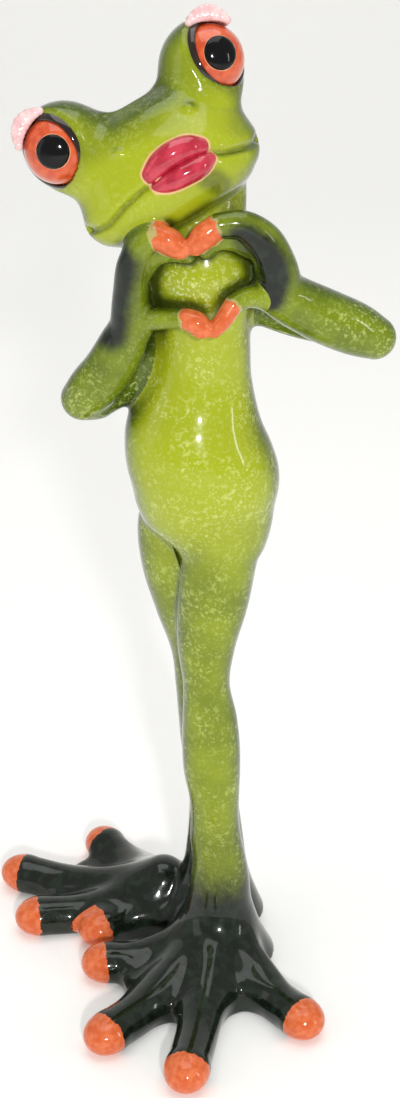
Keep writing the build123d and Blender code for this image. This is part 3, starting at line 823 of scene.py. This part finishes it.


# Dark patches, partly airbrushed paint and partly painted shade (inside the hands, beside them on the chest,
# under the jaw and on the neck), and painted shade along the mouth line: piece, line, full within, gone
# beyond, strength
dark_paint_and_shade_spots = [
    ("hand_right", bare_line((-19.5, -10.5, 184.0), (-19.5, -12.5, 191.0), (-17.5, -14.5, 198.5)),
     2.4, 8.6, 1.0),
    ("forearm_right", bare_line((-19.5, -10.5, 184.0), (-19.5, -12.5, 191.0)), 2.4, 8.6, 1.0),
    ("hand_left", bare_line((9.0, -17.0, 205.0), (13.6, -16.8, 201.4), (15.8, -15.6, 196.4),
                            (14.8, -14.6, 190.8)), 1.0, 6.2, 1.0),
    ("hand_left", bare_line((9.0, -17.0, 205.0), (4.0, -17.5, 205.2)), 0.2, 2.4, 0.8),
    ("hand_left", bare_line((20.8, -9.0, 196.0), (16.4, -12.0, 208.0)), 0.4, 3.0, 0.45),
    ("middle_finger_left", bare_line((14.0, -13.0, 199.0), (9.0, -14.0, 203.5)), 1.0, 5.0, 0.7),
    ("middle_finger_right", bare_line((-14.0, -13.0, 197.0), (-8.0, -14.0, 200.5)), 0.5, 4.0, 0.35),
    ("thumb_right", bare_line((-14.0, -12.0, 186.0), (-10.0, -13.0, 186.0)), 0.5, 4.0, 0.4),
    ("head", bare_line(from_head((4.8, -13.0, -20.6)), from_head((7.4, -11.0, -25.0))), 1.4, 4.6, 0.5),
    ("torso", bare_line((11.0, -6.0, 217.0), (9.0, -8.0, 209.0)), 2.5, 8.0, 0.5),
    ("torso", bare_line((-9.0, -9.0, 203.0), (-10.5, -8.0, 196.0), (-9.0, -9.0, 188.0)), 0.5, 5.0, 0.35),
    ("torso", bare_line((10.0, -9.0, 204.0), (11.5, -8.0, 197.0), (10.0, -9.0, 190.0)), 0.5, 5.0, 0.35),
] + [("head", line, 0.1, mouth_width, 0.4) for line in mouth_lines]
# How the legs darken towards the feet: strength, from this height, down to this one
leg_shades = [(0.28, 66.0, 38.0), (0.7, 39.0, 17.0)]
# How yellow each piece's front is, from what facing it shows, and from where its edges darken: partly the
# airbrushed paint, partly painted light on faces turned to the front and painted shade on faces turned aside
front_yellow_and_light_shares = {"torso": 1.0, "head": 0.95, "eye_mound": 0.95, "leg": 1.0, "upper_arm": 0.15, "forearm": 0.3,
                "hand": 0.35, "middle_finger": 0.3, "thumb": 0.4, "index_tip": 0.3, "foot": 0.2, "toe": 0.2}
front_yellow_and_light_facing, edge_paint_and_shade_facing = (-0.1, 0.95), (0.72, -0.1)
# Where the yellow, partly paint and partly painted light, thins out: share and heights on the forehead, then
# on the legs up to the belly
forehead_share, forehead_fade = 0.5, (-3.0, -12.0)
leg_share, belly_share, belly_fade = 0.42, 0.5, (116.0, 152.0)
# How strongly pieces are speckled, how far out the arms are, and the richer speckle inside the heart
leg_speckle, bare_speckle, heart_speckle = 0.7, 0.3, 0.9
arms_middle, arms_fade = 2.0, (21.0, 32.0)
heart_middle, heart_fade = 195.0, (16.0, 8.0)
# Orange on the fingers: how far it may reach, and how its edge is set against the next form
orange_reach, orange_slope, orange_shift = 1.5, 1.2, 0.1
# How far out closed-in places are felt for, and how much each reach counts, for the painted shade in creases
# and hollows
cavity_feelers = ((0.9, 0.4), (2.0, 0.35), (4.0, 0.25))


def cavity(points, normals, clay):
    """How closed-in a place is, from 0 on open skin to 1 deep in a crease."""
    return sum(share * np.clip(1 - clay.read(points + normals * reach) / reach, 0, 1)
               for reach, share in cavity_feelers)


def brushed_tips(name, points):
    """Distance inside the edge of the orange paint on toes and fingers, below zero outside it."""
    x, y, z = points.T
    side = "left" if "left" in name else "right"
    if name.startswith("toe"):
        _, _, start, along, seam = toes[side][int(name[-1]) - 1]
        return (points - start) @ along - seam - brush_ahead
    if not name.startswith(("hand", "index", "thumb", "middle")):
        return np.full(len(points), -far)
    own = {key: form.distance(x, y, z) for key, form in limbs[side].items()}
    inside = np.full(len(points), -far)
    for tip, others in (("index_tip", ("hand", "middle_finger")), ("thumb_tip", ("thumb", "hand"))):
        rival = np.minimum.reduce([own[key] for key in others])
        nearer = (rival - own[tip]) * orange_slope + orange_shift
        inside = np.where(own[tip] < orange_reach, np.maximum(inside, nearer), inside)
    return inside


def low_down(name):
    """Whether a piece is shaped in the clay of the legs and feet."""
    return name.startswith(("leg", "foot", "toe"))


def paint(name, skin):
    """Values at each point that the skin's paint, with its painted light and shade, is laid on by."""
    points, normals = skin.points, skin.normals
    x, y, z = points.T
    dark = sum(strength * fade(top, low, z) for strength, top, low in leg_shades) if low_down(name) else 0 * z
    # Dark patches, partly airbrushed paint and partly painted shade.
    for owner, form, core, reach, strength in dark_paint_and_shade_spots:
        if name == owner:
            dark = np.maximum(dark, strength * fade(reach, core, form.distance(x, y, z)))
    share = next(value for key, value in front_yellow_and_light_shares.items() if name.startswith(key))
    speckled = np.full(len(points), leg_speckle if name.startswith("leg") else 1.0)
    if name.startswith(("hand", "thumb", "middle", "forearm")):
        speckled = bare_speckle + (1 - bare_speckle) * fade(*arms_fade, abs(x - arms_middle))
    if name == "torso":
        speckled += heart_speckle * fade(*heart_fade, np.hypot(x, z - heart_middle))
    if name.startswith(("head", "eye_mound")):
        speckled *= bare_speckle
        lit = fade(*forehead_fade, to_head(x, y, z)[2])
        share = share * (forehead_share + (1 - forehead_share) * lit)
    if name in ("torso", "leg_left", "leg_right"):
        share = share * (leg_share + belly_share * fade(*belly_fade, z))
    # Yellow where the skin faces the front and dark where it turns aside: partly paint, partly painted light
    # and shade.
    facing = -normals[:, 1]
    clay = lower_clay if low_down(name) else upper_clay
    return {"orange": brushed_tips(name, points), "dark": dark, "cavity": cavity(points, normals, clay),
            "speckled": speckled, "front_yellow_and_light": share * fade(*front_yellow_and_light_facing, facing),
            "edge": fade(*edge_paint_and_shade_facing, facing), "peach": distances(skin, lip_forms.values())}


# Paints, by their codes on the painter's chart. Crease, wine and dusky pink are used as painted shade in
# creases; edge, green black and slate green partly as paint and partly as painted shade; sun partly as paint
# and partly as painted light.
paints = {
    "moss": "4c6006", "leaf": "60760a", "sun": "a4b01a", "edge": "303e0e", "crease": "26350f",
    "speckle": "ccd873", "drop": "dbe49a", "green_black": "10170f", "slate_green": "202b22",
    "orange": "d4602f", "pale_orange": "e5794a", "ochre": "e8c79a", "peach": "e9b98c",
    "eye_red": "c9481f", "eye_orange": "dc5f30", "pupil_ring": "e9a77e", "black": "030304",
    "soft_black": "070709", "rim_brown": "1a0f0c", "rim_umber": "2b1a12", "crimson": "b01e36",
    "rose": "ca364c", "wine": "6a1020", "pink": "e7b4b6", "shell": "f3d3d1", "dusky_pink": "c9808d",
    "paper": "f6f6f4", "paper_white": "f9f9f7",
}
lacquer_roughness, lacquer_ior, lacquer_specular, bump_height = 0.04, 1.5, 0.15, 0.0002


def colour(paint_name):
    """Linear colour of a paint."""
    code = paints[paint_name]
    parts = [int(code[i:i + 2], 16) / 255 for i in (0, 2, 4)]
    return (*[p / 12.92 if p <= 0.04045 else ((p + 0.055) / 1.055) ** 2.4 for p in parts], 1.0)


class Wire:
    """A value in a finish: arithmetic on it adds nodes."""

    def __init__(self, finish, socket):
        self.finish, self.socket = finish, socket

    def maths(self, operation, *values):
        return self.finish.node("ShaderNodeMath", {"operation": operation}, dict(enumerate(values)))

    def __add__(self, other):
        return self.maths("ADD", self, other)

    __radd__ = __add__

    def __sub__(self, other):
        return self.maths("SUBTRACT", self, other)

    def __rsub__(self, other):
        return self.maths("SUBTRACT", other, self)

    def __mul__(self, other):
        return self.maths("MULTIPLY", self, other)

    __rmul__ = __mul__

    def step(self, start, end):
        """0 below start and 1 above end, smooth between."""
        return self.finish.node("ShaderNodeMapRange", {"interpolation_type": "SMOOTHSTEP", "clamp": True},
                                {"Value": self, "From Min": start, "From Max": end})


class Finish:
    """A material: nodes are added by one method, and the last one joins them to the surface."""

    def __init__(self, name):
        self.material = bpy.data.materials.new(name)
        self.material.use_nodes = True
        self.tree = self.material.node_tree
        self.tree.nodes.clear()
        place = self.node("ShaderNodeTexCoord", output="Object")
        self.place = self.node("ShaderNodeVectorMath", {"operation": "SCALE"},
                               {0: place, "Scale": 1 / millimetre})

    def node(self, kind, settings=None, values=None, output=0):
        """One node: its type, its settings, and the values or links of its sockets."""
        made = self.tree.nodes.new(kind)
        for key, value in (settings or {}).items():
            setattr(made, key, value)
        for key, value in (values or {}).items():
            if isinstance(value, Wire):
                self.tree.links.new(value.socket, made.inputs[key])
            else:
                made.inputs[key].default_value = value
        return Wire(self, made.outputs[output]) if made.outputs else None

    def attribute(self, name):
        """A paint value that the mesh holds at its points."""
        return self.node("ShaderNodeAttribute", {"attribute_name": name}, output="Fac")

    def noise(self, scale, detail=3.0, roughness=0.5, shift=0.0):
        """Clouds laid over the figure's own millimetres, shifted so that no two coincide."""
        place = self.node("ShaderNodeVectorMath", {"operation": "ADD"}, {0: self.place, 1: (shift,) * 3})
        return self.node("ShaderNodeTexNoise", {},
                         {"Vector": place, "Scale": scale, "Detail": detail, "Roughness": roughness})

    def mix(self, amount, one, other):
        """One colour, covered by another to some amount."""
        values = {0: amount, 6: one, 7: other}
        return self.node("ShaderNodeMix", {"data_type": "RGBA"}, values, output=2)

    def surface(self, base, roughness, bump=None, strength=0.3, coat=1.0, glow=0.0):
        """The lacquered surface that ends a finish."""
        values = {"Base Color": base, "Roughness": roughness, "Coat Weight": coat,
                  "Coat Roughness": lacquer_roughness, "IOR": lacquer_ior,
                  "Specular IOR Level": lacquer_specular, "Emission Strength": glow}
        if bump:
            values["Normal"] = self.node("ShaderNodeBump", {}, {"Height": bump, "Strength": strength,
                                                                "Distance": bump_height})
        shader = self.node("ShaderNodeBsdfPrincipled", {}, values)
        self.node("ShaderNodeOutputMaterial", {}, {0: shader})
        return self.material


def lacquered_skin():
    """Sprayed greens, speckle, brushed orange tips and the lips' pale outline, with painted shade in creases,
    dark patches that are partly airbrushed paint and partly painted shade, and yellow fronts and dark edges
    that are partly paint and partly painted light and shade.
    """
    finish = Finish("lacquered_skin")
    orange, dark, crease_shade_mask, front_yellow_and_light, edge, peach, speckled = (
        finish.attribute(name) for name in ("orange", "dark", "cavity", "front_yellow_and_light", "edge", "peach", "speckled"))
    wash = finish.noise(0.10)
    green = finish.mix(wash.step(0.35, 0.65), colour("moss"), colour("leaf"))
    # Yellow on skin that faces the front: partly airbrushed paint, partly painted light.
    green = finish.mix((front_yellow_and_light + wash * 0.3 - 0.15).step(0.05, 0.85), green, colour("sun"))
    # Darker green on skin turned aside: partly airbrushed paint, partly painted shade.
    green = finish.mix(edge * 0.9, green, colour("edge"))
    speckle = finish.noise(0.72, detail=5.0, roughness=0.6, shift=7.0).step(0.55, 0.59)
    drops = finish.noise(1.5, detail=2.0, shift=31.0).step(0.58, 0.63)
    patches = finish.noise(0.12, detail=2.0, shift=13.0).step(0.38, 0.62)
    pale = (1.0 - edge * 0.65) * speckled
    green = finish.mix(speckle * (0.16 + patches * 0.34) * pale, green, colour("speckle"))
    green = finish.mix(drops * (0.10 + patches * 0.30) * pale, green, colour("drop"))
    # Painted shade in creases and hollows.
    green = finish.mix(crease_shade_mask.step(0.12, 0.75) * 0.85, green, colour("crease"))
    ragged = finish.noise(0.5, detail=4.0, roughness=0.6, shift=3.0) - 0.5
    # Dark patches, partly airbrushed paint and partly painted shade, and the legs' darkening towards the
    # feet.
    dark_paint_and_shade = (dark + ragged * 0.35 * dark.step(0.0, 0.5)).step(0.04, 0.9)
    cloudy = finish.noise(0.35, shift=17.0).step(0.4, 0.7)
    green = finish.mix(dark_paint_and_shade, green, finish.mix(cloudy, colour("green_black"), colour("slate_green")))
    brushed = orange + ragged * 2.2
    halo = brushed.step(-0.5, -0.25) * (1 - dark_paint_and_shade)
    green = finish.mix(halo * 0.4, green, colour("ochre"))
    tip = brushed.step(-0.12, 0.12)
    strokes = finish.noise(0.6, shift=23.0).step(0.35, 0.7)
    green = finish.mix(tip, green, finish.mix(strokes, colour("orange"), colour("pale_orange")))
    green = finish.mix((peach + ragged * 0.4).step(0.50, 0.22) * 0.85, green, colour("peach"))
    streaks = finish.noise(0.9, roughness=0.6, shift=41.0)
    swells = finish.noise(0.22, detail=2.0, roughness=0.4, shift=5.0)
    waves = swells + speckle * 0.25 + streaks * 0.18 + tip * 0.5
    return finish.surface(green, roughness=0.17, bump=waves, strength=0.35, coat=0.55)


def enamel(name, deep, pale, crease=None, coat=1.0):
    """One poured colour that clouds a little, with painted shade in its creases."""
    finish = Finish(name)
    made = finish.mix(finish.noise(0.4).step(0.35, 0.65), colour(deep), colour(pale))
    if crease:
        made = finish.mix(finish.attribute("cavity").step(0.08, 0.6), made, colour(crease))
    return finish.surface(made, roughness=0.12, bump=finish.noise(0.3, detail=2.0), coat=coat)


def iris_enamel():
    """Red-orange with a pale ring where the pupil ends."""
    finish = Finish("eye_enamel")
    uneven = (finish.noise(0.5) - 0.5) * 0.5
    made = finish.mix(finish.noise(0.5, shift=9.0).step(0.35, 0.65), colour("eye_red"), colour("eye_orange"))
    ring = (finish.attribute("from_gaze") + uneven).step(3.95, 3.75)
    made = finish.mix(ring, made, colour("pupil_ring"))
    return finish.surface(made, roughness=0.1, bump=finish.noise(0.3, detail=2.0), strength=0.2)


finishes = {
    "skin": lacquered_skin(),
    "eye": iris_enamel(),
    "pupil": enamel("pupil_enamel", "black", "soft_black", coat=0.3),
    "eye_rim": enamel("eye_rim_enamel", "rim_brown", "rim_umber"),
    # Lips and tufts darken in their creases as painted shade.
    "lip": enamel("lip_enamel", "crimson", "rose", crease="wine"),
    "brow_tuft": enamel("brow_tuft_enamel", "pink", "shell", crease="dusky_pink"),
}


def piece(name, skin, finish, values):
    """A closed piece in the frame, in metres, with its normals and its paint values."""
    data = bpy.data.meshes.new(name)
    places = (skin.points + (torso_side, torso_back, 0)) * millimetre
    count = len(skin.faces)
    data.vertices.add(len(places))
    data.vertices.foreach_set("co", places.astype(np.float32).ravel())
    data.loops.add(3 * count)
    data.loops.foreach_set("vertex_index", skin.faces.astype(np.int32).ravel())
    data.polygons.add(count)
    data.polygons.foreach_set("loop_start", np.arange(0, 3 * count, 3, dtype=np.int32))
    data.update(calc_edges=True)
    data.validate()
    data.polygons.foreach_set("use_smooth", np.ones(len(data.polygons), dtype=bool))
    data.normals_split_custom_set_from_vertices(skin.normals.astype(np.float32))
    for key, value in values.items():
        layer = data.attributes.new(key, "FLOAT", "POINT")
        layer.data.foreach_set("value", np.asarray(value, dtype=np.float32))
    data.materials.append(finishes[finish])
    made = bpy.data.objects.new(f"{name}_shape", data)
    bpy.context.scene.collection.objects.link(made)
    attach(made, "root")
    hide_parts(name)


for name, skin in skins.items():
    if name in small_clays:
        values = {"cavity": cavity(skin.points, skin.normals, small_clays[name])}
        piece(name, skin, "lip" if name in lip_forms else "brow_tuft", values)
    elif name.startswith(("eye_left", "eye_right")):
        centre, _, gaze, _ = eyes[name.removeprefix("eye_")]
        turn_out = np.arccos(np.clip((skin.points - centre) @ gaze / eye_radius, -1, 1))
        piece(name, skin, "eye", {"from_gaze": eye_radius * turn_out})
    elif name.startswith(("pupil", "eye_rim")):
        piece(name, skin, name.rsplit("_", 1)[0], {})
    else:
        piece(name, skin, "skin", paint(name, skin))

# Paper, lamps and camera, in metres but for the camera's place
floor_half, wall_back, wall_bend, wall_height, bend_steps = 1.6, 0.9, 0.5, 1.8, 16
lamp_aim = (0, 0, 0.13)
# Each lamp: place, size and power
lamps = {
    "key": ((0.12, -1.0, 0.55), (0.06, 0.07), 5.2),
    "right_wall": ((0.95, -0.45, 0.4), (0.06, 0.4), 0.8),
    "left_wall": ((-0.9, -0.3, 0.45), (0.4, 0.8), 0.8),
    "ceiling": ((0, 0.05, 1.2), (0.9, 0.9), 4.8),
}
room_colour, room_strength = (1.0, 0.99, 0.96, 1), 0.46
image_height_px, focal_px, sensor_mm, nearest_seen = 1098, 1645.17, 36.0, 0.01
camera_back, camera_height, camera_pitch = 360.0, 290.0, 24.67


def pale_paper():
    """Matt white paper with a faint grain and glow."""
    finish = Finish("pale_paper")
    grain = finish.noise(0.3, detail=2.0)
    made = finish.mix(grain.step(0.3, 0.7), colour("paper"), colour("paper_white"))
    return finish.surface(made, roughness=0.8, coat=0.0, glow=0.15)


def sweep():
    """Paper that lies on the floor and curves up behind the figure."""
    steps = [(-floor_half, 0.0), (wall_back, 0.0)]
    for i in range(1, bend_steps + 1):
        a = pi / 2 * i / bend_steps
        steps.append((wall_back + wall_bend * sin(a), wall_bend * (1 - cos(a))))
    steps.append((wall_back + wall_bend, wall_height))
    points = [(x, y, z) for y, z in steps for x in (-floor_half, floor_half)]
    faces = [(2 * i, 2 * i + 1, 2 * i + 3, 2 * i + 2) for i in range(len(steps) - 1)]
    data = bpy.data.meshes.new("paper")
    data.from_pydata(points, [], faces)
    data.polygons.foreach_set("use_smooth", [True] * len(faces))
    data.materials.append(pale_paper())
    made = bpy.data.objects.new("paper", data)
    bpy.context.scene.collection.objects.link(made)


def soft_box(name, place, size, power):
    """An oblong lamp that faces the figure."""
    light = bpy.data.lights.new(name, "AREA")
    light.shape, light.size, light.size_y, light.energy = "RECTANGLE", size[0], size[1], power
    made = bpy.data.objects.new(name, light)
    made.location = place
    direction = np.array(lamp_aim) - place
    made.rotation_euler = (atan2(sqrt(direction[0] ** 2 + direction[1] ** 2), -direction[2]), 0,
                           atan2(direction[1], direction[0]) - pi / 2)
    bpy.context.scene.collection.objects.link(made)


sweep()
for name, (place, size, power) in lamps.items():
    soft_box(name, place, size, power)
world = bpy.data.worlds.new("room")
world.use_nodes = True
world.node_tree.nodes["Background"].inputs["Color"].default_value = room_colour
world.node_tree.nodes["Background"].inputs["Strength"].default_value = room_strength
bpy.context.scene.world = world
camera = bpy.data.cameras.new("camera")
camera.sensor_fit = "VERTICAL"
camera.sensor_height = sensor_mm
camera.lens = focal_px / image_height_px * sensor_mm
camera.clip_start = nearest_seen
seen = bpy.data.objects.new("camera", camera)
seen.location = np.array([torso_side, torso_back - camera_back, camera_height]) * millimetre
seen.rotation_euler = (radians(90 - camera_pitch), 0, 0)
bpy.context.scene.collection.objects.link(seen)
bpy.context.scene.camera = seen
bpy.context.scene.view_settings.view_transform = "Standard"
